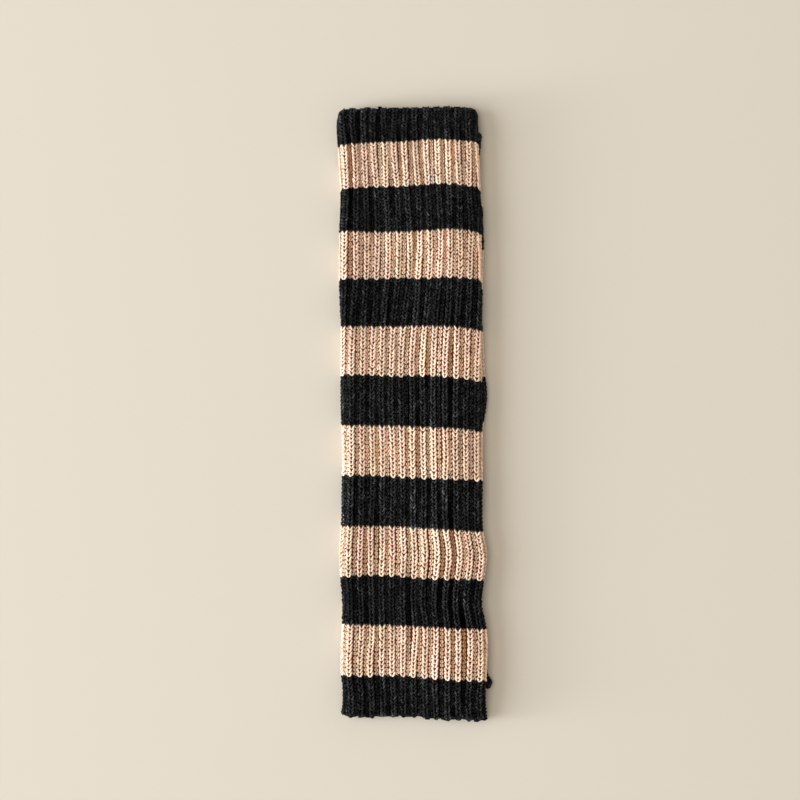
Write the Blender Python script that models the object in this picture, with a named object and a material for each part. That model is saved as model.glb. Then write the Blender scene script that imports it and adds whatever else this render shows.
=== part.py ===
"""A pair of striped, rib-knit leg warmers, laid flat one on the other.

Each leg warmer is one knitted tube, open at both ends and pressed flat, so that its
two panels lie on each other and join round a soft fold at each side. The tube is a
loft: each row of its table is one knitted course, which is turned into an outer ring
with a groove between ribs and a plain inner ring a wall's thickness inside it.

The scene is in metres. +X runs across the tubes, +Y towards their bind-off ends and
+Z up from the surface that they lie on. The origin is under the middle of the pair.
"""

import math
from collections import namedtuple

import bmesh
import bpy

MM = 0.001

# The knitted cloth.
RIBS = 28                      # ribs round one tube, 14 to each panel
WALL = 2.8 * MM                # thickness of the cloth at the crest of a rib
GROOVE_DEPTH = 1.0 * MM        # how far the cloth dips between two ribs
SLIT = 0.8 * MM                # gap between the two panels of a flat tube
FIRST_GROOVE = 1.6 * MM        # from the left fold to the first groove, over the top
RIB_PROFILE = (                # (share of the rib's width, share of the groove's depth)
    (0.00, 1.0),
    (0.26, 0.0),
    (0.74, 0.0),
)

# How a flat tube lies.
TUBE_HEIGHT = 2 * WALL + SLIT  # outside height of one flat tube
FOLD_RADIUS = TUBE_HEIGHT / 2  # outside radius of the fold at each side
CREST_X = 17.0 * MM            # where the bow of the courses is highest
LEFT_BOW = 1.3                 # 1 is a straight slope to the fold, more is rounder
RIGHT_BOW = 2.5

# Where the top panel stands up, over the ridge and beside the left fold. top, before
# and after are shares of the tube's width, and height is a share of the course's crown.
Bulge = namedtuple("Bulge", "top before after height")
BULGES = (
    Bulge(0.78, 0.30, 0.22, 1.0),
    Bulge(0.08, 0.08, 0.20, 0.6),
)

# Stripes: the yarn changes after each of these courses, dark first.
DARK_YARN = "charcoal_yarn"
LIGHT_YARN = "beige_yarn"

# One knitted course across a tube. left and right are the X of its two folds. left_y,
# crest_y and right_y are its Y at the left fold, at CREST_X and at the right fold.
# left_round and right_round are the radii by which its corners curve back at the
# folds. under is the height of the tube's underside, and crown is how far the ridge of
# the top panel stands up. turn is how far the ribs have rolled round the tube. yarn is
# the colour of the stripe that starts there.
Course = namedtuple(
    "Course",
    "left right left_y crest_y right_y left_round right_round under crown turn yarn",
)

# In millimetres, from the bind-off edge to the cast-on edge.
UPPER_COURSES = (
    Course(-50.5, 41.3, 198.8, 200.0, 199.0, 7.0, 4.0, 2.8, 2.2, 0.0, DARK_YARN),
    Course(-50.5, 41.3, 191.6, 193.2, 192.0, 4.0, 2.5, 5.2, 2.2, 0.0, DARK_YARN),
    Course(-50.1, 41.4, 184.9, 187.2, 185.6, 2.5, 1.5, 6.8, 2.2, 0.0, DARK_YARN),
    Course(-49.2, 41.8, 176.3, 178.8, 177.2, 1.5, 1.0, 6.8, 2.2, -0.1, LIGHT_YARN),
    Course(-47.7, 42.6, 146.9, 149.3, 146.3, 1.0, 1.0, 6.7, 2.3, 0.0, DARK_YARN),
    Course(-48.3, 43.4, 118.8, 120.2, 117.0, 0.6, 0.8, 6.7, 2.8, 0.2, LIGHT_YARN),
    Course(-48.7, 43.5, 87.0, 88.9, 86.6, 0.6, 0.6, 6.7, 2.7, 0.0, DARK_YARN),
    Course(-48.0, 44.1, 57.1, 57.2, 54.8, 0.6, 0.6, 6.7, 2.2, -2.2, LIGHT_YARN),
    Course(-47.8, 43.9, 24.4, 23.6, 21.4, 0.5, 0.5, 6.7, 2.4, -3.3, DARK_YARN),
    Course(-47.3, 43.8, -7.6, -8.6, -10.8, 0.5, 0.5, 6.7, 2.7, -3.9, LIGHT_YARN),
    Course(-46.5, 43.9, -41.1, -42.0, -43.4, 0.6, 0.5, 6.7, 2.5, -4.0, DARK_YARN),
    Course(-47.0, 44.5, -73.2, -73.9, -75.4, 0.6, 0.5, 6.7, 2.0, -4.0, LIGHT_YARN),
    Course(-48.2, 47.0, -90.2, -91.2, -92.4, 0.5, 0.5, 6.7, 1.6, -3.9, LIGHT_YARN),
    Course(-48.0, 45.3, -106.2, -107.0, -108.0, 0.5, 0.5, 6.7, 1.4, -4.0, DARK_YARN),
    Course(-46.7, 43.7, -121.8, -122.8, -124.2, 0.5, 0.5, 6.7, 1.2, -4.1, DARK_YARN),
    Course(-46.7, 46.2, -137.2, -138.5, -140.0, 0.5, 0.5, 6.7, 1.3, -4.2, LIGHT_YARN),
    Course(-47.5, 46.7, -170.4, -171.6, -173.8, 0.5, 0.5, 6.8, 1.8, -4.3, DARK_YARN),
    Course(-46.5, 46.1, -180.6, -181.8, -184.0, 0.5, 0.5, 6.8, 2.2, -4.3, DARK_YARN),
    Course(-46.6, 46.3, -188.6, -190.0, -192.2, 0.5, 0.5, 4.6, 2.4, -4.3, DARK_YARN),
    Course(-47.5, 47.2, -197.0, -198.4, -200.2, 1.0, 1.0, 1.8, 2.4, -4.3, DARK_YARN),
)
LOWER_COURSES = (
    Course(-48.0, 44.1, 183.4, 184.4, 183.9, 3.0, 1.6, 0.0, 0.0, 0.0, DARK_YARN),
    Course(-47.8, 43.4, 173.4, 174.8, 174.0, 1.0, 1.0, 0.0, 0.0, 0.0, DARK_YARN),
    Course(-47.5, 41.6, 160.8, 162.2, 161.2, 0.5, 0.5, 0.0, 0.0, 0.0, LIGHT_YARN),
    Course(-46.4, 44.3, 135.9, 137.0, 136.0, 0.5, 0.5, 0.0, 0.0, 0.0, DARK_YARN),
    Course(-46.9, 44.9, 108.2, 109.0, 108.0, 0.5, 0.5, 0.0, 0.0, 0.0, LIGHT_YARN),
    Course(-47.3, 44.3, 82.4, 83.0, 82.0, 0.5, 0.5, 0.0, 0.0, 0.0, DARK_YARN),
    Course(-46.7, 44.6, 54.4, 54.8, 53.8, 0.5, 0.5, 0.0, 0.0, 0.0, LIGHT_YARN),
    Course(-46.4, 45.8, 25.6, 25.8, 24.8, 0.5, 0.5, 0.0, 0.0, 0.0, DARK_YARN),
    Course(-46.3, 47.0, 15.6, 15.6, 14.6, 0.5, 0.5, 0.0, 0.0, 0.0, DARK_YARN),
    Course(-46.0, 45.2, -4.6, -5.0, -5.6, 0.5, 0.5, 0.0, 0.0, 0.0, LIGHT_YARN),
    Course(-45.3, 43.0, -34.6, -35.2, -35.8, 0.5, 0.5, 0.0, 0.0, 0.0, DARK_YARN),
    Course(-45.6, 43.0, -63.6, -64.4, -65.0, 0.5, 0.5, 0.0, 0.0, 0.0, LIGHT_YARN),
    Course(-46.6, 43.6, -93.4, -94.2, -95.0, 0.5, 0.5, 0.0, 0.0, 0.0, DARK_YARN),
    Course(-45.4, 42.6, -122.6, -123.4, -124.2, 0.5, 0.5, 0.0, 0.0, 0.0, LIGHT_YARN),
    Course(-46.0, 44.0, -153.0, -153.8, -154.6, 0.5, 0.5, 0.0, 0.0, 0.0, DARK_YARN),
    Course(-45.2, 47.2, -166.6, -167.4, -168.6, 0.5, 0.5, 0.0, 0.0, 0.0, DARK_YARN),
    Course(-45.0, 50.5, -177.8, -178.6, -179.8, 1.5, 4.0, 0.0, 0.0, 0.0, DARK_YARN),
)


def in_metres(course):
    """The same course with its lengths turned from millimetres into metres."""
    lengths = [value * MM for value in course[:-1]]
    return Course(*lengths, course.yarn)


def fold_outline(distance, half_width):
    """Point and outward normal on a flat tube's outside, a distance round from its left fold.

    The outline is two straight panels joined by half circles. The walk starts at the
    left-most point and runs over the top panel first.
    """
    panel = 2 * (half_width - FOLD_RADIUS)
    quarter = math.pi * FOLD_RADIUS / 2
    around = 2 * panel + 4 * quarter
    distance = (distance + quarter) % around
    for side in (1, -1):
        if distance < 2 * quarter:
            angle = distance / FOLD_RADIUS - math.pi / 2
            normal = (-side * math.cos(angle), side * math.sin(angle))
            middle = -side * panel / 2
            return middle + FOLD_RADIUS * normal[0], FOLD_RADIUS * normal[1], normal
        distance -= 2 * quarter
        if distance < panel:
            return side * (distance - panel / 2), side * FOLD_RADIUS, (0.0, side)
        distance -= panel
    raise ValueError("the walk round the fold ran past its start")


def corner_drop(reach, half_width, radius):
    """How far a course curves back, reach metres from the tube's middle line."""
    into = min(max(abs(reach) - (half_width - radius), 0.0), radius)
    return radius - math.sqrt(radius * radius - into * into)


def course_y(course, x):
    """Y of a course at x, with its bow and its rounded corners."""
    if x < CREST_X:
        share = min((CREST_X - x) / (CREST_X - course.left), 1.0)
        y = course.crest_y + (course.left_y - course.crest_y) * share**LEFT_BOW
        radius = course.left_round
    else:
        share = min((x - CREST_X) / (course.right - CREST_X), 1.0)
        y = course.crest_y + (course.right_y - course.crest_y) * share**RIGHT_BOW
        radius = course.right_round
    middle = (course.left + course.right) / 2
    drop = corner_drop(x - middle, (course.right - course.left) / 2, radius)
    return y - math.copysign(drop, y)


def panel_rise(share):
    """How far the top panel stands up at a share of the tube's width, as a share of its crown."""
    rise = 0.0
    for bulge in BULGES:
        away = share - bulge.top
        away /= bulge.after if away > 0 else bulge.before
        if abs(away) < 1:
            rise += bulge.height * math.cos(math.pi / 2 * away) ** 2
    return rise


def place(course, x, height, lift):
    """The point of a course at x, height above the tube's middle plane.

    lift is 1 where the top panel faces up, and falls to 0 round the folds.
    """
    width = course.right - course.left
    middle = (course.left + course.right) / 2
    rise = course.crown * lift * panel_rise(x / width + 0.5)
    return (
        middle + x,
        course_y(course, middle + x),
        course.under + FOLD_RADIUS + height + rise,
    )


def rings_of(course, rests):
    """The outer and inner rings of a course. A tube that rests has no grooves underneath."""
    half_width = (course.right - course.left) / 2
    around = 4 * (half_width - FOLD_RADIUS) + 2 * math.pi * FOLD_RADIUS
    pitch = around / RIBS
    outer = []
    inner = []
    for rib in range(RIBS):
        start = FIRST_GROOVE + course.turn + rib * pitch
        for share, depth in RIB_PROFILE:
            x, z, normal = fold_outline(start + share * pitch, half_width)
            lift = max(normal[1], 0.0)
            if rests and normal[1] < -math.cos(math.radians(45)):
                depth = 0.0
            dip = depth * GROOVE_DEPTH
            outer.append(place(course, x - dip * normal[0], z - dip * normal[1], lift))
            if share == 0.0:
                inner.append(place(course, x - WALL * normal[0], z - WALL * normal[1], lift))
    return outer, inner


def yarn_material(name, colour, roughness):
    """A matt yarn."""
    material = bpy.data.materials.new(name)
    material.use_nodes = True
    shader = material.node_tree.nodes["Principled BSDF"]
    shader.inputs["Base Color"].default_value = (*colour, 1.0)
    shader.inputs["Roughness"].default_value = roughness
    shader.inputs["Metallic"].default_value = 0.0
    return material


def knitted_tube(name, courses, rests, collection, yarns):
    """Loft one leg warmer through its courses, striped by the yarn of each stretch."""
    courses = [in_metres(course) for course in courses]
    bm = bmesh.new()
    outer_rings = []
    inner_rings = []
    for course in courses:
        outer, inner = rings_of(course, rests)
        outer_rings.append([bm.verts.new(point) for point in outer])
        inner_rings.append([bm.verts.new(point) for point in inner])

    slots = list(yarns)
    for row, course in enumerate(courses[:-1]):
        stripe = slots.index(course.yarn)
        for rings, turned in ((outer_rings, False), (inner_rings, True)):
            count = len(rings[row])
            for k in range(count):
                after = (k + 1) % count
                corners = [rings[row][k], rings[row + 1][k], rings[row + 1][after], rings[row][after]]
                face = bm.faces.new(corners[::-1] if turned else corners)
                face.material_index = stripe

    # The bind-off and cast-on edges: one face closes the wall across each rib.
    points = len(RIB_PROFILE)
    for row, turned in ((0, False), (-1, True)):
        for rib in range(RIBS):
            outer = [outer_rings[row][(rib * points + k) % (RIBS * points)] for k in range(points + 1)]
            inner = [inner_rings[row][(rib + 1) % RIBS], inner_rings[row][rib]]
            corners = outer + inner
            face = bm.faces.new(corners[::-1] if turned else corners)
            face.material_index = slots.index(courses[row].yarn)

    bmesh.ops.recalc_face_normals(bm, faces=bm.faces)
    mesh = bpy.data.meshes.new(name)
    bm.to_mesh(mesh)
    bm.free()
    for slot in slots:
        mesh.materials.append(yarns[slot])
    tube = bpy.data.objects.new(name, mesh)
    collection.objects.link(tube)
    return tube


def clear_scene():
    """Remove every object that the file opened with."""
    for old in list(bpy.data.objects):
        bpy.data.objects.remove(old, do_unlink=True)


def main():
    """Build the pair in a collection of its own."""
    clear_scene()
    pair = bpy.data.collections.new("pair_of_leg_warmers")
    bpy.context.scene.collection.children.link(pair)
    yarns = {
        DARK_YARN: yarn_material(DARK_YARN, (0.012, 0.013, 0.015), 0.9),
        LIGHT_YARN: yarn_material(LIGHT_YARN, (0.73, 0.49, 0.34), 0.85),
    }
    knitted_tube("lower_leg_warmer", LOWER_COURSES, True, pair, yarns)
    knitted_tube("upper_leg_warmer", UPPER_COURSES, False, pair, yarns)


main()
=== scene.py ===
"""Looks for a pair of striped, rib-knit leg warmers, laid flat one on the other.

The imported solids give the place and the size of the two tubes. Round each of them this
script knits a thin ribbed cloth, the stitches of every stripe, and the cast-on and
bind-off edges, and it sets a plain stage round the pair. It is laid out as an add-on
and is run as a script. Everything is in metres: +X runs across the tubes, +Y towards
their bind-off ends, and +Z up from the surface that they lie on.
"""

import math
from collections import namedtuple

import bmesh
import bpy
import numpy as np
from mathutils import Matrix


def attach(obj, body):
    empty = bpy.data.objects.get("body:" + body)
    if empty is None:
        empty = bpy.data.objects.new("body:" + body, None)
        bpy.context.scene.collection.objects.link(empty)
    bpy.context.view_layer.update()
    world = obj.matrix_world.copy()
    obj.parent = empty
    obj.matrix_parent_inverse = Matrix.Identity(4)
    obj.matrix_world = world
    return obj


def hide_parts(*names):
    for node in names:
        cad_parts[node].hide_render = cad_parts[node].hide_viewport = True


bl_info = {
    "name": "Striped Leg Warmers",
    "version": (1, 0, 0),
    "blender": (4, 5, 0),
    "location": "View3D > Sidebar > Leg Warmers",
    "description": "Knits a pair of striped leg warmers round their solids",
    "category": "Add Mesh",
}

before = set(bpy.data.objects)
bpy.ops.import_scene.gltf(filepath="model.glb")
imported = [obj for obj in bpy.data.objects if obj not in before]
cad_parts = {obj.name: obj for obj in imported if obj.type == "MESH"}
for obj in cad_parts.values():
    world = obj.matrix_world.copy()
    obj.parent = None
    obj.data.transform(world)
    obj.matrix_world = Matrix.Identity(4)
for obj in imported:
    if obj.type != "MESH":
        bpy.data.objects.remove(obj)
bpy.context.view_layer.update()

MM = 0.001

# The flat tubes, as their solids have them.
RIBS = 28                    # ribs round one tube, 14 to each panel
WALL = 2.8 * MM              # thickness of the cloth at the crest of a rib
SLIT = 0.8 * MM              # gap between the two panels
FIRST_GROOVE = 1.6 * MM      # from the left fold to the first groove, over the top
FOLD_RADIUS = WALL + SLIT / 2
CREST_X = 17.0 * MM          # where the bow of the courses is highest
LEFT_BOW = 1.3               # power of the bow from there to the left fold
RIGHT_BOW = 2.5              # and to the right fold

# The columns of stitches: their place on a rib and the width between the two legs of a
# stitch, as shares of a rib's width, and how far out from the cloth they lie, in
# millimetres.
Column = namedtuple("Column", "place width out")
CREST = Column(0.5, 0.395, -0.4)
GROOVE = Column(0.0, 0.33, 0.45)
# Backs of dark stitches in a groove, which lie over the light yarn where the yarn changes.
OVERLAP = Column(0.0, 0.40, 0.70)
# The cast-on and bind-off chains, which have three turns on each rib.
EDGE = Column((0.08, 0.42, 0.75), 0.48, -0.4)
EDGE_FACES = (6, 6)          # faces round and along one turn

# The knitting. A stripe is a number of rows in one yarn, dark first.
STRIPE_ROWS = (10, 13, 13, 13, 13, 13, 13, 13, 13, 13, 13, 13, 11)
ALL_ROWS = sum(STRIPE_ROWS)
ROW_HEIGHT = 2.4 * MM        # a usual row, for what reaches past the first and last
RIB_SHARP = 2.0              # 1 is an even wave, more has flatter crests
PITCH = 6.72 * MM            # a usual width of a rib
PLY_TWIST = 2.4              # how far the pattern of the plies runs along half a stitch

# The cloth behind the stitches.
RIB_STEPS = 6                # its faces across a rib
STRIPE_STEPS = 5             # and along a stripe
CLOTH_RELIEF = 0.85          # its ribs, as a share of their full depth
CLOTH_UNDER = 0.75 * MM      # how far it lies under the crests
CLOTH_INSIDE = -WALL + 0.1 * MM  # where its inner face lies, out from the crests

FLOOR_GAP = 0.1 * MM         # the least that anything lies over the floor
SAME_POINT = 1e-6            # points no further apart than this, in metres, are merged
NO_LENGTH = 1e-9             # what a length of nothing counts as where it divides

# How far the knitting strays at an unevenness of 1. A drift along a rib or a groove has a
# random value at each of its knots, and runs smoothly between them.
DRIFT_KNOTS = 15
DRIFT_SPAN = ALL_ROWS / (DRIFT_KNOTS - 1)
DRIFT_END = ALL_ROWS - 1e-6  # just short of the last knot, so that one always follows
RIB_ASIDE = 0.34 * MM
RIB_HEIGHT = 0.22 * MM
RIB_TILT = 0.20              # slope of a rib that leans over
RIB_EDGE = 1 / 8             # share of a rib, from its groove, where it drifts less aside
GROOVE_GAPE = 0.10 * MM      # how far every groove opens
GAPE_STRAY = 0.20 * MM       # and how far that strays
GAPE_DEPTH = 1.2             # how much a groove deepens as it opens
STITCH_STRAY = np.array((0.07 * MM, 0.07, 0.07 * MM, 0.05))  # aside, in rows, out, in size
EDGE_STRAY = 0.25            # rows, for the turns of an edge's chain
HUE_STRAY = np.array((0.010, -0.009, 0.006))  # from yellower to pinker
STITCH_HUE = 0.8             # how much of it differs from stitch to stitch
RIB_HUE = 1.2                # and how much drifts along a rib

# The bind-off edge dips at each groove, and the cast-on edge curls in loose lobes. Both
# fade out over some rows.
SCALLOP = 0.6 * MM
SCALLOP_ROWS = 4
LOBE = 0.35 * MM
LOBE_ROWS = 6
LOBE_WAVES = ((15, 1.0), (8, 0.8))  # how many go round the tube, and how strong they are

# Where yarn takes its painted shade. The painted shade of sunk yarn starts this far under
# the crests, for yarn whose surface lies so many yarn widths higher. The painted shade of
# the flanks is full where the yarn has turned away this much: 1 is sideways and 2 is
# underneath.
DEEP_START = 0.4 * MM
DEEP_BELOW = 0.3
FLANK_TURN = 1.2
FLANK_POWER = 1.3            # 1 is an even change of tint, more keeps it to the flanks

# One knitted course of a tube, in millimetres but for its row, which counts from the
# bind-off edge: its two folds, its y at each fold and at its crest, how far its corners
# round off, how high its underside lies, how far its top panel stands up, and how far its
# ribs have rolled round the tube, towards the right.
Course = namedtuple(
    "Course",
    "row left right left_y crest_y right_y left_round right_round under crown turn",
)
UPPER_COURSES = (
    Course(0, -50.5, 41.3, 198.8, 200.0, 199.0, 7.0, 4.0, 2.8, 2.2, 0.0),
    Course(3, -50.5, 41.3, 191.6, 193.2, 192.0, 4.0, 2.5, 5.2, 2.2, 0.0),
    Course(6, -50.1, 41.4, 184.9, 187.2, 185.6, 2.5, 1.5, 6.8, 2.2, 0.0),
    Course(10, -49.2, 41.8, 176.3, 178.8, 177.2, 1.5, 1.0, 6.8, 2.2, -0.1),
    Course(23, -47.7, 42.6, 146.9, 149.3, 146.3, 1.0, 1.0, 6.7, 2.3, 0.0),
    Course(36, -48.3, 43.4, 118.8, 120.2, 117.0, 0.6, 0.8, 6.7, 2.8, 0.2),
    Course(49, -48.7, 43.5, 87.0, 88.9, 86.6, 0.6, 0.6, 6.7, 2.7, 0.0),
    Course(62, -48.0, 44.1, 57.1, 57.2, 54.8, 0.6, 0.6, 6.7, 2.2, -2.2),
    Course(75, -47.8, 43.9, 24.4, 23.6, 21.4, 0.5, 0.5, 6.7, 2.4, -3.3),
    Course(88, -47.3, 43.8, -7.6, -8.6, -10.8, 0.5, 0.5, 6.7, 2.7, -3.9),
    Course(101, -46.5, 43.9, -41.1, -42.0, -43.4, 0.6, 0.5, 6.7, 2.5, -4.0),
    Course(114, -47.0, 44.5, -73.2, -73.9, -75.4, 0.6, 0.5, 6.7, 2.0, -4.0),
    Course(121, -48.2, 47.0, -90.2, -91.2, -92.4, 0.5, 0.5, 6.7, 1.6, -3.9),
    Course(127, -48.0, 45.3, -106.2, -107.0, -108.0, 0.5, 0.5, 6.7, 1.4, -4.0),
    Course(133.5, -46.7, 43.7, -121.8, -122.8, -124.2, 0.5, 0.5, 6.7, 1.2, -4.1),
    Course(140, -46.7, 46.2, -137.2, -138.5, -140.0, 0.5, 0.5, 6.7, 1.3, -4.2),
    Course(153, -47.5, 46.7, -170.4, -171.6, -173.8, 0.5, 0.5, 6.8, 1.8, -4.3),
    Course(157, -46.5, 46.1, -180.6, -181.8, -184.0, 0.5, 0.5, 6.8, 2.2, -4.3),
    Course(160.5, -46.6, 46.3, -188.6, -190.0, -192.2, 0.5, 0.5, 4.6, 2.4, -4.3),
    Course(164, -47.5, 47.2, -197.0, -198.4, -200.2, 1.0, 1.0, 1.8, 2.4, -4.3),
)
LOWER_COURSES = (
    Course(0, -48.0, 44.1, 183.4, 184.4, 183.9, 3.0, 1.6, 0.0, 0.0, 0.0),
    Course(4, -47.8, 43.4, 173.4, 174.8, 174.0, 1.0, 1.0, 0.0, 0.0, 0.0),
    Course(10, -47.5, 41.6, 160.8, 162.2, 161.2, 0.5, 0.5, 0.0, 0.0, 0.0),
    Course(23, -46.4, 44.3, 135.9, 137.0, 136.0, 0.5, 0.5, 0.0, 0.0, 0.0),
    Course(36, -46.9, 44.9, 108.2, 109.0, 108.0, 0.5, 0.5, 0.0, 0.0, 0.0),
    Course(49, -47.3, 44.3, 82.4, 83.0, 82.0, 0.5, 0.5, 0.0, 0.0, 0.0),
    Course(62, -46.7, 44.6, 54.4, 54.8, 53.8, 0.5, 0.5, 0.0, 0.0, 0.0),
    Course(75, -46.4, 45.8, 25.6, 25.8, 24.8, 0.5, 0.5, 0.0, 0.0, 0.0),
    Course(79, -46.3, 47.0, 15.6, 15.6, 14.6, 0.5, 0.5, 0.0, 0.0, 0.0),
    Course(88, -46.0, 45.2, -4.6, -5.0, -5.6, 0.5, 0.5, 0.0, 0.0, 0.0),
    Course(101, -45.3, 43.0, -34.6, -35.2, -35.8, 0.5, 0.5, 0.0, 0.0, 0.0),
    Course(114, -45.6, 43.0, -63.6, -64.4, -65.0, 0.5, 0.5, 0.0, 0.0, 0.0),
    Course(127, -46.6, 43.6, -93.4, -94.2, -95.0, 0.5, 0.5, 0.0, 0.0, 0.0),
    Course(140, -45.4, 42.6, -122.6, -123.4, -124.2, 0.5, 0.5, 0.0, 0.0, 0.0),
    Course(153, -46.0, 44.0, -153.0, -153.8, -154.6, 0.5, 0.5, 0.0, 0.0, 0.0),
    Course(158, -45.2, 47.2, -166.6, -167.4, -168.6, 0.5, 0.5, 0.0, 0.0, 0.0),
    Course(164, -45.0, 50.5, -177.8, -178.6, -179.8, 1.5, 4.0, 0.0, 0.0, 0.0),
)

# How far the courses of the upper tube waver from their bow, along the tube and in
# millimetres, at each x of WAVE_X.
Wave = namedtuple("Wave", "row fold left middle_left middle ridge right")
WAVE_X = np.array((-45, -28, -10, 8, 28, 44)) * MM
WAVES = (
    Wave(0, 0.0, 0.0, 0.0, 0.0, 0.0, 0.0),
    Wave(10, -1.5, -0.7, -0.8, -0.4, -0.7, -0.7),
    Wave(23, -0.7, -0.4, -0.7, -0.1, 0.0, 0.0),
    Wave(36, 0.0, -1.0, -1.2, -0.6, 0.2, 0.6),
    Wave(49, 0.4, -0.2, -0.1, -0.8, -0.1, 0.0),
    Wave(62, -0.2, -0.1, -0.2, 0.2, -0.4, -0.5),
    Wave(75, 0.8, 1.1, 0.5, 1.0, -0.2, -0.6),
    Wave(88, 0.5, 0.4, 0.5, 0.0, -0.5, -1.1),
    Wave(101, 0.9, 1.3, 0.4, -0.2, -0.5, -0.3),
    Wave(114, 0.4, 0.7, 0.5, -0.3, -1.7, -1.3),
    Wave(127, 0.2, 1.5, 1.0, -0.4, -0.4, -0.5),
    Wave(140, 0.6, 0.5, 0.6, 0.0, -1.1, -0.2),
    Wave(153, 0.2, 0.3, 0.9, -0.4, -1.7, -0.6),
    Wave(160, 0.0, 0.0, 0.2, -0.1, -0.4, -0.2),
    Wave(164, -0.4, -0.5, 0.4, -0.3, -1.2, -0.3),
)
NO_WAVES = (Wave(0, *[0.0] * len(WAVE_X)), Wave(ALL_ROWS, *[0.0] * len(WAVE_X)))

# Where the top panel stands up, over the ridge and beside the left fold. top, before
# and after are shares of the tube's width, and height is a share of the course's crown.
Bulge = namedtuple("Bulge", "top before after height")
BULGES = (
    Bulge(0.79, 0.27, 0.21, 1.4),
    Bulge(0.055, 0.08, 0.16, 0.9),
)

# How far the upper tube's ribs have slid sideways on its top panel besides its turn, in
# millimetres towards the right, near the left fold, in the middle and near the right.
Slide = namedtuple("Slide", "row left middle right")
SLIDES = (
    Slide(0, 0.0, 0.0, 0.0),
    Slide(16.5, 0.1, -0.9, 0.6),
    Slide(42.5, -0.4, 1.0, -1.6),
    Slide(68.5, 2.6, -1.8, 0.8),
    Slide(94.5, 1.4, -0.6, 0.8),
    Slide(120.5, -1.5, -0.3, 2.0),
    Slide(146.5, -0.2, -1.0, 1.4),
    Slide(164, -0.2, -0.6, 0.8),
)
NO_SLIDES = (Slide(0, 0.0, 0.0, 0.0), Slide(ALL_ROWS, 0.0, 0.0, 0.0))

# Grooves of the upper tube that gape where the cloth creases along them: the groove by
# its number from the left fold, its stretch of rows, and how far it opens, in millimetres.
Crease = namedtuple("Crease", "groove first last gape")
CREASES = (
    Crease(1, 4, 52, 0.7),
    Crease(3, 112, 150, 0.5),
    Crease(4, 80, 122, 0.5),
    Crease(6, 6, 24, 0.5),
    Crease(7, 34, 50, 0.5),
    Crease(8, 82, 106, 0.5),
    Crease(9, 58, 80, 0.5),
    Crease(10, 110, 160, 0.5),
    Crease(11, 60, 98, 0.5),
    Crease(11, 106, 158, 0.8),
    Crease(12, 130, 164, 0.5),
)

# Half a stitch of a crest, from the bottom of its V to the end that slips behind the
# stitch above: across in its column's width, along in rows, out and thick in yarn widths.
YarnPoint = namedtuple("YarnPoint", "across along out thick")
LEG = (
    YarnPoint(-0.06, -0.80, 0.00, 0.0),
    YarnPoint(0.16, -0.70, 0.28, 0.90),
    YarnPoint(0.35, -0.34, 0.38, 1.05),
    YarnPoint(0.52, 0.06, 0.26, 1.06),
    YarnPoint(0.62, 0.42, -0.18, 0.88),
    YarnPoint(0.52, 0.72, -0.85, 0.0),
)
# Half a stitch of a groove, which shows its back: a loop that closes between the rows.
BACK_LEG = (
    YarnPoint(-0.20, -0.62, -0.50, 0.0),
    YarnPoint(0.00, -0.44, -0.10, 0.75),
    YarnPoint(0.31, -0.24, 0.34, 0.80),
    YarnPoint(0.37, 0.10, 0.30, 0.78),
    YarnPoint(0.04, 0.38, -0.10, 0.75),
    YarnPoint(-0.15, 0.62, -0.50, 0.0),
)
# One turn of the cast-on or bind-off chain, from the outside of the cloth over its edge
# to the inside, in the same units.
CHAIN = (
    YarnPoint(-0.10, -0.55, 0.00, 0.0),
    YarnPoint(-0.06, -0.12, 0.30, 1.7),
    YarnPoint(0.00, 0.36, 0.05, 2.1),
    YarnPoint(0.04, 0.44, -0.80, 2.1),
    YarnPoint(0.08, 0.20, -1.40, 1.7),
    YarnPoint(0.10, -0.40, -1.75, 0.0),
)

# The two yarns, dark first. dull and bright are the shares of the colour that its flecks
# take, fleck is their size in millimetres, and uneven and patchy are how much the stitches
# and the ribs differ in tone. On the charcoal yarn the bright flecks are partly lighter
# fibres and partly painted highlights. The last three are tints of painted shade: on a
# yarn's flanks, on yarn which is sunk so many millimetres further in, and on the cloth
# between stitches.
Yarn = namedtuple(
    "Yarn", "name slot colour specular sheen dull bright fleck uneven patchy sunk side deep behind"
)
YARNS = (
    Yarn(
        name="charcoal_spun_acrylic",
        slot="charcoal_yarn",
        colour="dark_colour",
        specular=0.03,
        sheen=0.0,
        # Flecks from black to bright: partly lighter fibres, partly painted highlights.
        dull=0.0,
        bright=5.3,
        fleck=0.6,
        uneven=0.36,
        patchy=0.24,
        sunk=1.9,
        # Painted shade on the flanks, on sunk yarn and on the cloth between stitches.
        side=(0.50, 0.50, 0.50),
        deep=(0.0, 0.0, 0.0),
        behind=(0.03, 0.03, 0.03),
    ),
    Yarn(
        name="beige_spun_acrylic",
        slot="beige_yarn",
        colour="light_colour",
        specular=0.15,
        sheen=0.03,
        dull=0.98,
        bright=1.14,
        fleck=0.4,
        uneven=0.10,
        patchy=0.07,
        sunk=1.8,
        # Painted shade on the flanks, on sunk yarn and on the cloth between stitches.
        side=(0.90, 0.74, 0.57),
        deep=(0.72, 0.56, 0.40),
        behind=(0.13, 0.043, 0.010),
    ),
)

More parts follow.
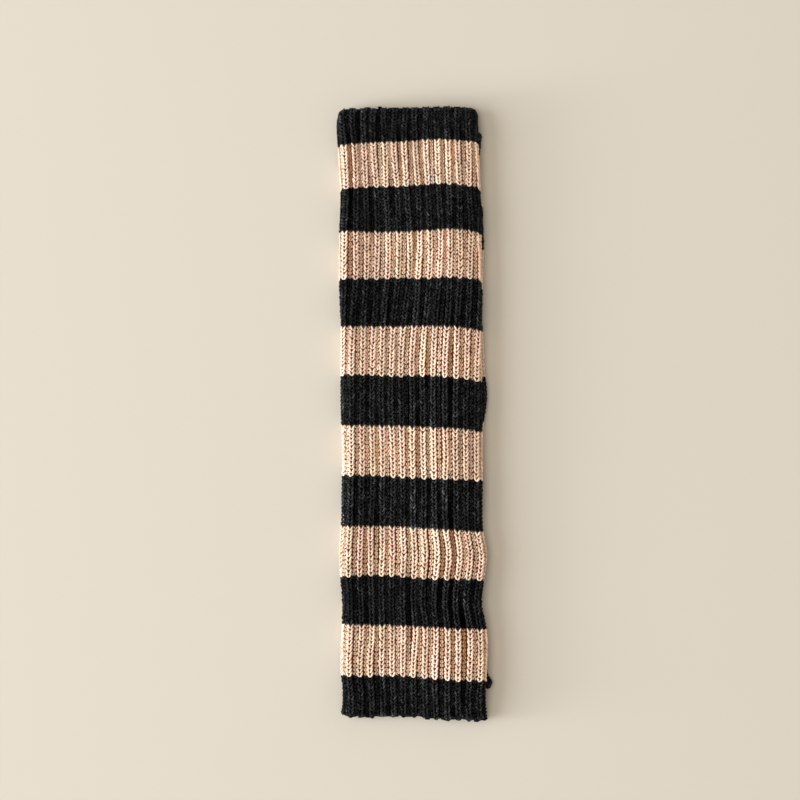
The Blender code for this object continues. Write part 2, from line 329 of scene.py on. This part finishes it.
# The stage, in metres and watts. A lamp's azimuth and elevation are in degrees, seen from
# the middle of the pair, and it is aimed there.
FLOOR_REACH = 3.0            # from the middle of the paper to its edges
WORLD_COLOUR = "#fff0e0"
WORLD_STRENGTH = 0.42
LENS = 85.0                  # millimetres
CAMERA_PLACE = (-9.4 * MM, 8.8 * MM, 1.229 + 12 * MM)
Lamp = namedtuple("Lamp", "name azimuth elevation distance size power colour")
LAMPS = (
    Lamp("low_window", 188.5, 10.0, 2.2, 0.5, 27.5, "#f8fdff"),
    Lamp("soft_window", 186.0, 27.0, 2.3, 1.9, 50.5, "#fdfeff"),
    Lamp("soft_box", 175.0, 76.0, 2.0, 1.2, 12.5, "#fff3e4"),
)


def linear(code):
    """An sRGB hex colour as the linear numbers that a shader takes."""
    values = [int(code[i : i + 2], 16) / 255 for i in (1, 3, 5)]
    return tuple(v / 12.92 if v <= 0.04045 else ((v + 0.055) / 1.055) ** 2.4 for v in values)


class LegWarmerSettings(bpy.types.PropertyGroup):
    """Sizes and colours that a user would change."""

    yarn_width: bpy.props.FloatProperty(
        name="Yarn width",
        description="Width of the yarn where it lies in a stitch",
        default=1.4 * MM,
        min=0.5 * MM,
        max=3.0 * MM,
        unit="LENGTH",
    )
    rib_depth: bpy.props.FloatProperty(
        name="Rib depth",
        description="Depth of the grooves between the ribs",
        default=1.68 * MM,
        min=0.0,
        max=2.4 * MM,
        unit="LENGTH",
    )
    unevenness: bpy.props.FloatProperty(
        name="Unevenness",
        description="How far stitches and ribs stray from their places",
        default=1.0,
        min=0.0,
        max=3.0,
        subtype="FACTOR",
    )
    dark_colour: bpy.props.FloatVectorProperty(
        name="Dark yarn",
        description="Colour of the charcoal yarn",
        default=linear("#212325"),
        min=0.0,
        max=1.0,
        subtype="COLOR",
    )
    light_colour: bpy.props.FloatVectorProperty(
        name="Light yarn",
        description="Colour of the beige yarn",
        default=linear("#fee9d9"),
        min=0.0,
        max=1.0,
        subtype="COLOR",
    )
    floor_colour: bpy.props.FloatVectorProperty(
        name="Floor",
        description="Colour of the paper under the pair",
        default=linear("#dfddd5"),
        min=0.0,
        max=1.0,
        subtype="COLOR",
    )


def settings():
    """The settings of the scene that is open."""
    return bpy.context.scene.leg_warmers


def in_metres(table):
    """A table of rows and of millimetres as numbers, with the millimetres made metres."""
    numbers = np.array(table, float)
    numbers[:, 1:] *= MM
    return numbers


class Tube:
    """One flat knitted tube: where a row and a rib of it lie, and how they stray."""

    def __init__(self, name, courses, slides, creases, waves, rests_on, seed):
        self.name = name
        self.rests_on = rests_on
        self.courses = in_metres(courses)
        self.slides = in_metres(slides)
        self.creases = creases
        self.waves = in_metres(waves)
        self.chance = np.random.default_rng(seed)
        self.drift = {
            kind: self.chance.normal(size=(RIBS * 2, DRIFT_KNOTS))
            for kind in ("aside", "height", "tilt", "gape", "tone", "hue")
        }

    @staticmethod
    def smooth(table, rows):
        """The columns of a table at any rows, on a smooth curve through its lines."""
        known = table[:, 0]
        slopes = np.gradient(table, known, axis=0)
        rows = np.clip(rows, known[0], known[-1])
        k = np.clip(np.searchsorted(known, rows, side="right") - 1, 0, len(known) - 2)
        span = (known[k + 1] - known[k])[:, None]
        t = (rows - known[k])[:, None] / span
        return (
            (2 * t**3 - 3 * t**2 + 1) * table[k]
            + (t**3 - 2 * t**2 + t) * slopes[k] * span
            + (3 * t**2 - 2 * t**3) * table[k + 1]
            + (t**3 - t**2) * slopes[k + 1] * span
        ).T

    def stray(self, kind, column, rows):
        """A slow random drift along a rib, a groove or a column of stitches, at these rows."""
        table = self.drift[kind]
        column = np.asarray(column, int) % len(table)
        place = np.clip(rows, 0, DRIFT_END) / DRIFT_SPAN
        k = place.astype(int)
        t = place - k
        t = t * t * (3 - 2 * t)
        drift = table[column, k] * (1 - t) + table[column, k + 1] * t
        return drift * settings().unevenness

    def gape(self, groove, rows):
        """How far a groove opens, in metres."""
        groove = np.asarray(groove, int) % RIBS
        opening = GROOVE_GAPE + GAPE_STRAY * self.stray("gape", groove, rows)
        for crease in self.creases:
            middle = (crease.first + crease.last) / 2
            reach = (crease.last - crease.first) / 2
            along = np.clip(np.abs(rows - middle) / reach, 0, 1)
            along = np.where(groove == crease.groove, np.cos(math.pi / 2 * along**3) ** 2, 0)
            opening = opening + crease.gape * MM * along
        return opening

    def relief(self, rows, ribs, depth):
        """How the cloth of a rib lies: metres out from the crests and aside, and its lean.

        ribs counts round the tube, so that its fraction is the place on the rib.
        """
        rib = np.floor(ribs)
        place = ribs - rib
        rib = rib % RIBS
        # What the gape of the groove before the rib and of the one after it do there.
        before = self.gape(rib, rows) * (1 - place) ** 2
        after = self.gape(rib + 1, rows) * place**2
        tilt = RIB_TILT * self.stray("tilt", rib, rows)
        bell = np.sin(math.pi * place)
        deepen = depth + GAPE_DEPTH * (before + after)
        sunk = (1 + np.cos(2 * math.pi * place)) / 2
        slope = deepen * RIB_SHARP * sunk ** (RIB_SHARP - 1) * np.sin(2 * math.pi * place)
        lean = np.arctan(tilt * bell + slope * math.pi / PITCH)
        out = -deepen * sunk**RIB_SHARP + tilt * (place - 0.5) * PITCH * bell
        out += RIB_HEIGHT * self.stray("height", rib, rows) * bell
        aside = RIB_ASIDE * self.stray("aside", rib, rows) + (before - after) / 2
        aside = aside * np.clip(np.minimum(place, 1 - place) / RIB_EDGE, 0, 1)
        return out, aside, lean

    def point(self, rows, ribs, aside, out):
        """Points of the tube, at a row and a rib, metres aside from it and out from the crests.

        The walk round the tube starts at its left fold and runs over the top panel.
        """
        past = np.where(rows < 0, rows, np.maximum(rows - ALL_ROWS, 0.0))
        at = Course(*self.smooth(self.courses, rows))
        half = (at.right - at.left) / 2
        panel = 2 * (half - FOLD_RADIUS)
        arc = math.pi * FOLD_RADIUS
        around = 2 * (panel + arc)
        # The ribs slide on the top panel alone.
        _, left, middle, right = self.smooth(self.slides, rows)
        across = np.clip((ribs % RIBS) / (RIBS / 2), 0, 1)
        top = np.sin(math.pi * across) ** 0.5
        slide = left * (1 - across) * np.maximum(1 - 2 * across, 0)
        slide = slide + right * across * np.maximum(2 * across - 1, 0)
        slide = (slide + middle * (1 - (2 * across - 1) ** 2)) * top
        walk = (FIRST_GROOVE + at.turn + ribs * around / RIBS + slide + aside + arc / 2) % around
        # Each half of the walk is a fold and the panel after it: the top, then underneath.
        side = np.where(walk < panel + arc, 1.0, -1.0)
        walk = np.where(side > 0, walk, walk - panel - arc)
        angle = np.minimum(walk, arc) / FOLD_RADIUS - math.pi / 2
        normal_x = -side * np.cos(angle)
        normal_z = side * np.sin(angle)
        on_panel = np.maximum(walk - arc, 0.0)
        x = side * (on_panel - panel / 2) + (FOLD_RADIUS + out) * normal_x
        z = (FOLD_RADIUS + out) * normal_z
        rise = at.crown * np.maximum(normal_z, 0.0) * panel_rise(x / (2 * half) + 0.5)
        x = x + (at.left + at.right) / 2
        y = course_y(at, x) - past * ROW_HEIGHT
        for weights, wave in zip(np.eye(len(WAVE_X)), self.smooth(self.waves, rows)[1:]):
            y = y + wave * np.interp(x, WAVE_X, weights)
        scallops = np.cos(2 * math.pi * ribs) / 2 + 0.5
        turn = 2 * math.pi * ribs / RIBS
        lobes = sum(strength * np.sin(number * turn) for number, strength in LOBE_WAVES)
        y = y - SCALLOP * scallops * np.clip(1 - rows / SCALLOP_ROWS, 0, 1)
        y = y + LOBE * lobes * np.clip((rows - ALL_ROWS + LOBE_ROWS) / LOBE_ROWS, 0, 1)
        z = np.maximum(at.under + FOLD_RADIUS + z + rise, FLOOR_GAP)
        return np.stack([x, y, z], axis=1)


def panel_rise(share):
    """How far the top panel stands up at a share of the width, as a share of its crown."""
    rise = 0.0
    for bulge in BULGES:
        away = share - bulge.top
        away = away / np.where(away > 0, bulge.after, bulge.before)
        rise = rise + bulge.height * np.cos(math.pi / 2 * np.clip(away, -1, 1)) ** 2
    return rise


def course_y(at, x):
    """Y of a course at x, with its bow and its rounded corners."""
    left = x < CREST_X
    reach = np.where(left, CREST_X - at.left, at.right - CREST_X)
    share = np.clip(np.abs(x - CREST_X) / reach, 0, 1)
    fold_y = np.where(left, at.left_y, at.right_y)
    bow = np.where(left, LEFT_BOW, RIGHT_BOW)
    y = at.crest_y + (fold_y - at.crest_y) * share**bow
    radius = np.where(left, at.left_round, at.right_round)
    half = (at.right - at.left) / 2
    into = np.abs(x - (at.left + at.right) / 2) - (half - radius)
    into = np.clip(into, 0, radius)
    drop = radius - np.sqrt(np.maximum(radius**2 - into**2, 0))
    return y - np.sign(y) * drop


def add_node(tree, kind, inputs=(), **values):
    """Add a node, set its values, and set or link its inputs."""
    node = tree.nodes.new(kind)
    for name, value in values.items():
        setattr(node, name, value)
    for key, value in dict(inputs).items():
        if isinstance(value, bpy.types.NodeSocket):
            tree.links.new(value, node.inputs[key])
        else:
            node.inputs[key].default_value = value
    return node


def new_material(name):
    """An empty material and its node tree."""
    material = bpy.data.materials.new(name)
    material.use_nodes = True
    material.node_tree.nodes.clear()
    return material, material.node_tree


def spun_acrylic(yarn):
    """Soft acrylic yarn, spun from three plies: matt, with a slight fuzz that catches light.

    The eye sees the twist of the plies, stitches that differ a little in tone, and painted
    shade: yarn darker on its flanks and in the grooves, and warmer in colour there, standing
    for light that has passed through yarn, and dark gaps between the stitches.
    """
    material, tree = new_material(yarn.name)
    # The stitches' tone with their painted shade, and the painted shade of the cloth between them.
    shade = add_node(tree, "ShaderNodeAttribute", attribute_name="shade")
    ply = add_node(tree, "ShaderNodeAttribute", attribute_name="ply")
    place = add_node(tree, "ShaderNodeTexCoord")
    # Flecks of fibre, coarser than real ones so that they show. On the charcoal yarn their bright
    # flecks are also painted highlights.
    fibres = add_node(
        tree,
        "ShaderNodeTexNoise",
        {
            "Vector": place.outputs["Object"],
            "Scale": 1 / (yarn.fleck * MM),
            "Detail": 3.0,
            "Roughness": 0.6,
        },
    )
    # Three plies, twisted together.
    twist = add_node(
        tree,
        "ShaderNodeTexWave",
        {"Vector": ply.outputs["Vector"], "Scale": 1.0, "Distortion": 1.0, "Detail": 1.0},
        wave_type="BANDS",
        bands_direction="DIAGONAL",
    )
    fleck_and_glint = add_node(
        tree,
        "ShaderNodeMapRange",
        {
            "Value": fibres.outputs["Fac"],
            "From Min": 0.42,
            "From Max": 0.68,
            "To Min": yarn.dull,
            "To Max": yarn.bright,
        },
    )
    colour_with_painted_shade = add_node(
        tree,
        "ShaderNodeVectorMath",
        {0: shade.outputs["Vector"], 1: tuple(getattr(settings(), yarn.colour))},
        operation="MULTIPLY",
    )
    base = add_node(
        tree,
        "ShaderNodeVectorMath",
        {0: colour_with_painted_shade.outputs["Vector"], "Scale": fleck_and_glint.outputs["Result"]},
        operation="SCALE",
    )
    # The plies and the fibres stand up in low relief.
    relief = add_node(
        tree,
        "ShaderNodeMath",
        {0: twist.outputs["Fac"], 1: 0.6, 2: fibres.outputs["Fac"]},
        operation="MULTIPLY_ADD",
    )
    bump = add_node(
        tree,
        "ShaderNodeBump",
        {"Strength": 0.6, "Distance": 0.2 * MM, "Height": relief.outputs["Value"]},
    )
    shader = add_node(
        tree,
        "ShaderNodeBsdfPrincipled",
        {
            "Base Color": base.outputs["Vector"],
            "Roughness": 0.85,
            "Specular IOR Level": yarn.specular,
            "Sheen Weight": yarn.sheen,
            "Sheen Roughness": 0.5,
            "Normal": bump.outputs["Normal"],
        },
    )
    add_node(tree, "ShaderNodeOutputMaterial", {"Surface": shader.outputs["BSDF"]})
    return material


def yarn_material(yarn):
    """The material of a yarn, made once."""
    return bpy.data.materials.get(yarn.name) or spun_acrylic(yarn)


def stripe_starts():
    """The first row of each stripe, and the row past the last one."""
    return np.concatenate([[0], np.cumsum(STRIPE_ROWS)])


def tone_with_painted_shade(yarn, out, facing, tone):
    """Tone with painted shade of yarn this far out from the crests, facing out this much, -1 to 1.
    """
    deep = np.clip((-out - DEEP_START) / (yarn.sunk * MM), 0, 1)[:, None]
    turned = np.clip((1 - facing) / FLANK_TURN, 0, 1)[:, None] ** FLANK_POWER
    painted_depth_shade = 1 - deep * (1 - np.array(yarn.deep))
    painted_flank_shade = 1 - turned * (1 - np.array(yarn.side))
    return painted_depth_shade * painted_flank_shade * tone


def add_piece(name, mesh, used):
    """Link a finished mesh of these yarns as a piece that rides with the pair."""
    for yarn in used:
        mesh.materials.append(yarn_material(yarn))
    mesh.shade_smooth()
    piece = bpy.data.objects.new(name, mesh)
    bpy.context.scene.collection.objects.link(piece)
    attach(piece, "root")
    return piece


def set_vectors(mesh, name, values):
    """Store a vector at each corner of a mesh, for its material."""
    layer = mesh.attributes.new(name, "FLOAT_VECTOR", "POINT")
    layer.data.foreach_set("vector", values.astype(np.float32).ravel())


def grid_cloth(bm, uv, around, rows, place):
    """Add a grid that runs round the tube, with its points set by place(rows, ribs)."""
    grid = bmesh.ops.create_grid(bm, x_segments=around, y_segments=len(rows) - 1, size=1.0)
    points = grid["verts"]
    flat = np.array([v.co[:2] for v in points])
    ribs = np.round((flat[:, 0] + 1) / 2 * around).astype(int)
    steps = np.round((flat[:, 1] + 1) / 2 * (len(rows) - 1)).astype(int)
    at_rows = np.asarray(rows, float)[steps]
    at_ribs = ribs * RIBS / around
    for point, co in zip(points, place(at_rows, at_ribs)):
        point.co = co
    coordinates = dict(zip(points, zip(at_ribs, at_rows)))
    for face in {f for v in points for f in v.link_faces}:
        for loop in face.loops:
            loop[uv].uv = coordinates[loop.vert]
    return points


def knit_cloth(tube, node_name):
    """Make the thin ribbed cloth of one tube, closed round both mouths."""
    around = RIBS * RIB_STEPS
    depth = settings().rib_depth
    starts = stripe_starts()
    steps = [np.linspace(a, b, STRIPE_STEPS + 1)[:-1] for a, b in zip(starts, starts[1:])]
    outer_rows = np.concatenate(steps + [[ALL_ROWS]])
    inner_rows = outer_rows[::STRIPE_STEPS]

    def outside(rows, ribs):
        out, aside, _ = tube.relief(rows, ribs, depth)
        return tube.point(rows, ribs, aside, out * CLOTH_RELIEF - CLOTH_UNDER)

    def inside(rows, ribs):
        return tube.point(rows, ribs, 0 * rows, np.full(len(rows), CLOTH_INSIDE))

    bm = bmesh.new()
    uv = bm.loops.layers.uv.new("knit")
    layer = bm.verts.layers.float_vector.new("shade")
    outer = grid_cloth(bm, uv, around, outer_rows, outside)
    inner = grid_cloth(bm, uv, around, inner_rows, inside)
    bmesh.ops.remove_doubles(bm, verts=outer, dist=SAME_POINT)
    bmesh.ops.remove_doubles(bm, verts=[v for v in inner if v.is_valid], dist=SAME_POINT)
    rims = [edge for edge in bm.edges if edge.is_boundary]
    for end in (1, -1):
        rim = [edge for edge in rims if edge.verts[0].co.y * end > 0]
        bmesh.ops.bridge_loops(bm, edges=rim)
    bmesh.ops.recalc_face_normals(bm, faces=bm.faces)
    for face in bm.faces:
        row = sum(loop[uv].uv.y for loop in face.loops) / len(face.loops)
        number = np.searchsorted(starts[1:-1], row, side="right")
        face.material_index = int(number) % 2
        # The cloth between the stitches takes the painted shade of the gaps there.
        for vert in face.verts:
            vert[layer] = YARNS[face.material_index].behind
    mesh = bpy.data.meshes.new(tube.name)
    bm.to_mesh(mesh)
    bm.free()
    piece = add_piece(tube.name, mesh, YARNS)
    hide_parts(node_name)


def bent_yarn(path, sides, bands):
    """A length of yarn, bent from a ball.

    It has the middle of the yarn at each corner, the corner's place on the ring round
    that, the triangles between the corners, and each corner's ply.
    """
    bm = bmesh.new()
    bmesh.ops.create_uvsphere(bm, u_segments=sides, v_segments=bands, radius=1.0)
    bmesh.ops.triangulate(bm, faces=bm.faces)
    ball = np.array([v.co[:] for v in bm.verts])
    triangles = np.array([[v.index for v in face.verts] for face in bm.faces])
    bm.free()
    share = np.arccos(np.clip(ball[:, 2], -1, 1)) / math.pi
    spin = np.arctan2(ball[:, 1], ball[:, 0]) + math.pi / 2
    known = np.linspace(0, 1, len(path))
    across, along, out, thick = (np.interp(share, known, column) for column in zip(*path))
    middle = np.stack([across, along, out], axis=1)
    ring = np.stack([np.cos(spin), np.sin(spin)], axis=1) * thick[:, None] / 2
    ply = np.stack([spin / math.pi, share * PLY_TWIST, 0 * share], axis=1)
    return middle, ring, triangles, ply


def lay_yarn(tube, yarn, bent, rib, row, column, hand):
    """Copies of a bent length of yarn, at these ribs and rows, in a column of the rib.

    hand is 1 for the right half of a stitch and -1 for its left half.
    """
    middle, ring, triangles, ply = bent
    width = settings().yarn_width
    uneven = settings().unevenness
    count = len(rib)
    chance = tube.chance
    place = np.broadcast_to(column.place, rib.shape)
    out, aside, lean = tube.relief(row + 0.5, rib + place, settings().rib_depth)
    stray = chance.normal(size=(count, len(STITCH_STRAY))) * STITCH_STRAY * uneven
    wale = rib * 2 + (place > 0)
    tone = chance.normal(size=count) * yarn.uneven * uneven
    tone = np.exp(tone + yarn.patchy * tube.stray("tone", wale, row))
    hue = STITCH_HUE * chance.normal(size=count) * uneven
    hue = hue + RIB_HUE * tube.stray("hue", wale, row)
    tone = tone[:, None] * (1 + hue[:, None] * HUE_STRAY)
    swell = (1 + stray[:, 3])[:, None]
    side = middle[None, :, 0] * column.width * PITCH + ring[None, :, 0] * width
    side = side * hand * swell
    lift = (middle[None, :, 2] + ring[None, :, 1]) * width * swell
    sine, cosine = np.sin(lean)[:, None], np.cos(lean)[:, None]
    across = side * cosine - lift * sine + (aside + stray[:, 0])[:, None]
    outward = side * sine + lift * cosine + (out + stray[:, 2] + column.out * MM)[:, None]
    at_rows = row[:, None] + 0.5 - middle[None, :, 1] - stray[:, 1:2]
    at_ribs = (rib + place)[:, None] + 0 * at_rows
    points = tube.point(at_rows.ravel(), at_ribs.ravel(), across.ravel(), outward.ravel())
    size = len(middle)
    faces = (triangles[None] + np.arange(count)[:, None, None] * size).reshape(-1, 3)
    if hand < 0:
        faces = faces[:, ::-1]
    # Painted shade: yarn is darker on its flanks and where it lies sunk under the crests.
    facing = ring[:, 1] / np.maximum(np.hypot(ring[:, 0], ring[:, 1]), NO_LENGTH)
    below = outward.ravel() - DEEP_BELOW * width
    shade = tone_with_painted_shade(yarn, below, np.tile(facing, count), np.repeat(tone, size, axis=0))
    return points, faces, np.tile(ply, (count, 1)), shade


def mesh_of(name, parts):
    """One mesh from several sets of corners, triangles, ply and shade."""
    offsets = np.cumsum([0] + [len(part[0]) for part in parts])
    points = np.concatenate([part[0] for part in parts])
    faces = np.concatenate([part[1] + offset for part, offset in zip(parts, offsets)])
    mesh = bpy.data.meshes.new(name)
    mesh.vertices.add(len(points))
    mesh.vertices.foreach_set("co", points.astype(np.float32).ravel())
    mesh.loops.add(faces.size)
    mesh.loops.foreach_set("vertex_index", faces.astype(np.int32).ravel())
    mesh.polygons.add(len(faces))
    mesh.polygons.foreach_set("loop_start", np.arange(0, faces.size, 3, dtype=np.int32))
    mesh.update(calc_edges=True)
    set_vectors(mesh, "ply", np.concatenate([part[2] for part in parts]))
    set_vectors(mesh, "shade", np.concatenate([part[3] for part in parts]))
    return mesh


def yarn_changes(rows):
    """The half rows at the ends of these rows where the yarn changes."""
    ends = np.array((rows[0], rows[-1] + 1))
    return ends[np.isin(ends, stripe_starts()[1:-1])] - 0.5


def stripe(tube, yarn, shown, rows):
    """The stitches of some rows. shown gives the ribs to knit, and the faces round a leg."""
    layers = [(CREST, LEG, rows), (GROOVE, BACK_LEG, rows)]
    if yarn is YARNS[0]:
        layers.append((OVERLAP, BACK_LEG, yarn_changes(rows)))
    parts = []
    for ribs, sides, bands in shown:
        for column, path, at in layers:
            rib, row = (g.ravel() for g in np.meshgrid(ribs, at, indexing="ij"))
            bent = bent_yarn(path, sides, bands)
            for hand in (1, -1):
                parts.append(lay_yarn(tube, yarn, bent, rib, row, column, hand))
    return parts


def chain_edge(tube, yarn, row):
    """The cast-on or bind-off chain over one edge of the cloth."""
    path = CHAIN
    if row > 0:
        path = [point._replace(along=-point.along) for point in CHAIN]
    bent = bent_yarn(path, *EDGE_FACES)
    rib, place = (g.ravel() for g in np.meshgrid(np.arange(RIBS), EDGE.place, indexing="ij"))
    hand = 1 if row == 0 else -1
    rows = row + EDGE_STRAY * tube.chance.normal(size=len(rib)) * settings().unevenness
    return [lay_yarn(tube, yarn, bent, rib, rows, EDGE._replace(place=place), hand)]


TUBES = {
    "lower": Tube("lower_cloth", LOWER_COURSES, NO_SLIDES, (), NO_WAVES, "paper_floor", 23),
    "upper": Tube("upper_cloth", UPPER_COURSES, SLIDES, CREASES, WAVES, "lower_cloth", 11),
}
# The ribs that get stitches, with the faces round and along each leg. The others lie
# between the tubes, where nothing shows them.
TOP_RIBS = {
    "upper": (((26, 27, *range(15)), 5, 5), ((15, 16), 4, 4)),
    "lower": (((26, 27, 0, 1, 12, 13, 14, 15), 5, 5), (tuple(range(16, 26)), 4, 4)),
}
END_RIBS = (tuple(range(17, 26)), 4, 4)
END_ROWS = 8                 # rows of the upper tube that hang past the lower one


def matt_paper():
    """Uncoated paper: it scatters light evenly, with no gloss, and keeps a soft shadow."""
    material, tree = new_material("matt_paper")
    shader = add_node(
        tree,
        "ShaderNodeBsdfDiffuse",
        {"Color": (*settings().floor_colour, 1.0), "Roughness": 1.0},
    )
    add_node(tree, "ShaderNodeOutputMaterial", {"Surface": shader.outputs["BSDF"]})
    return material


def add_lamp(lamp):
    """Hang a round soft lamp that is aimed at the middle of the pair."""
    light = bpy.data.lights.new(lamp.name, "AREA")
    light.shape = "DISK"
    light.size = lamp.size
    light.energy = lamp.power
    light.color = linear(lamp.colour)
    holder = bpy.data.objects.new(lamp.name, light)
    azimuth, elevation = math.radians(lamp.azimuth), math.radians(lamp.elevation)
    holder.location = (
        lamp.distance * math.cos(elevation) * math.cos(azimuth),
        lamp.distance * math.cos(elevation) * math.sin(azimuth),
        lamp.distance * math.sin(elevation),
    )
    holder.rotation_euler = holder.location.to_track_quat("Z", "Y").to_euler()
    bpy.context.scene.collection.objects.link(holder)


class LEGWARMERS_OT_cloth(bpy.types.Operator):
    """Make the thin ribbed cloth of both tubes"""

    bl_idname = "legwarmers.cloth"
    bl_label = "Ribbed cloth"

    def execute(self, context):
        for which, tube in TUBES.items():
            knit_cloth(tube, f"{which}_leg_warmer")
        return {"FINISHED"}


class LEGWARMERS_OT_stripes(bpy.types.Operator):
    """Knit the stitches of every stripe over the cloth"""

    bl_idname = "legwarmers.stripes"
    bl_label = "Stripes"

    def execute(self, context):
        starts = stripe_starts()
        for which, tube in TUBES.items():
            for number, (first, after) in enumerate(zip(starts, starts[1:])):
                rows = np.arange(first, after)
                yarn = YARNS[number % 2]
                parts = stripe(tube, yarn, TOP_RIBS[which], rows)
                ends = rows[(rows < END_ROWS) | (rows >= ALL_ROWS - END_ROWS)]
                if which == "upper" and len(ends):
                    parts += stripe(tube, yarn, (END_RIBS,), ends)
                name = f"{which}_stripe_{number + 1:02d}"
                add_piece(name, mesh_of(name, parts), [yarn])
        return {"FINISHED"}


class LEGWARMERS_OT_edges(bpy.types.Operator):
    """Work the cast-on and bind-off chains round the mouths"""

    bl_idname = "legwarmers.edges"
    bl_label = "Chain edges"

    def execute(self, context):
        for which, tube in TUBES.items():
            for edge, row in (("bind_off", 0), ("cast_on", ALL_ROWS - 1)):
                name = f"{which}_{edge}"
                mesh = mesh_of(name, chain_edge(tube, YARNS[0], row))
                add_piece(name, mesh, YARNS[:1])
        return {"FINISHED"}


class LEGWARMERS_OT_stage(bpy.types.Operator):
    """Set the paper floor, the soft lights and the camera"""

    bl_idname = "legwarmers.stage"
    bl_label = "Stage"

    def execute(self, context):
        scene = context.scene
        bm = bmesh.new()
        bmesh.ops.create_grid(bm, x_segments=1, y_segments=1, size=FLOOR_REACH)
        mesh = bpy.data.meshes.new("paper_floor")
        bm.to_mesh(mesh)
        bm.free()
        floor = bpy.data.objects.new("paper_floor", mesh)
        scene.collection.objects.link(floor)
        mesh.materials.append(matt_paper())

        world = scene.world or bpy.data.worlds.new("studio")
        scene.world = world
        world.use_nodes = True
        background = world.node_tree.nodes["Background"]
        background.inputs["Color"].default_value = (*linear(WORLD_COLOUR), 1.0)
        background.inputs["Strength"].default_value = WORLD_STRENGTH

        for lamp in LAMPS:
            add_lamp(lamp)

        lens = bpy.data.cameras.new("camera")
        lens.lens = LENS
        camera = bpy.data.objects.new("camera", lens)
        camera.location = CAMERA_PLACE
        scene.collection.objects.link(camera)
        scene.camera = camera
        scene.view_settings.view_transform = "Standard"
        return {"FINISHED"}


class LEGWARMERS_PT_panel(bpy.types.Panel):
    """Lists the steps that make the pair"""

    bl_idname = "LEGWARMERS_PT_panel"
    bl_label = "Leg Warmers"
    bl_space_type = "VIEW_3D"
    bl_region_type = "UI"
    bl_category = "Leg Warmers"

    def draw(self, context):
        for operator in OPERATORS:
            self.layout.operator(operator.bl_idname)
        for name in LegWarmerSettings.__annotations__:
            self.layout.prop(context.scene.leg_warmers, name)


OPERATORS = (
    LEGWARMERS_OT_cloth,
    LEGWARMERS_OT_stripes,
    LEGWARMERS_OT_edges,
    LEGWARMERS_OT_stage,
)
CLASSES = (LegWarmerSettings, *OPERATORS, LEGWARMERS_PT_panel)


def register():
    for each in CLASSES:
        bpy.utils.register_class(each)
    bpy.types.Scene.leg_warmers = bpy.props.PointerProperty(type=LegWarmerSettings)


def unregister():
    del bpy.types.Scene.leg_warmers
    for each in reversed(CLASSES):
        bpy.utils.unregister_class(each)


def main():
    """Make everything."""
    register()
    bpy.ops.legwarmers.cloth()
    bpy.ops.legwarmers.stripes()
    bpy.ops.legwarmers.edges()
    bpy.ops.legwarmers.stage()


if __name__ == "__main__":
    main()
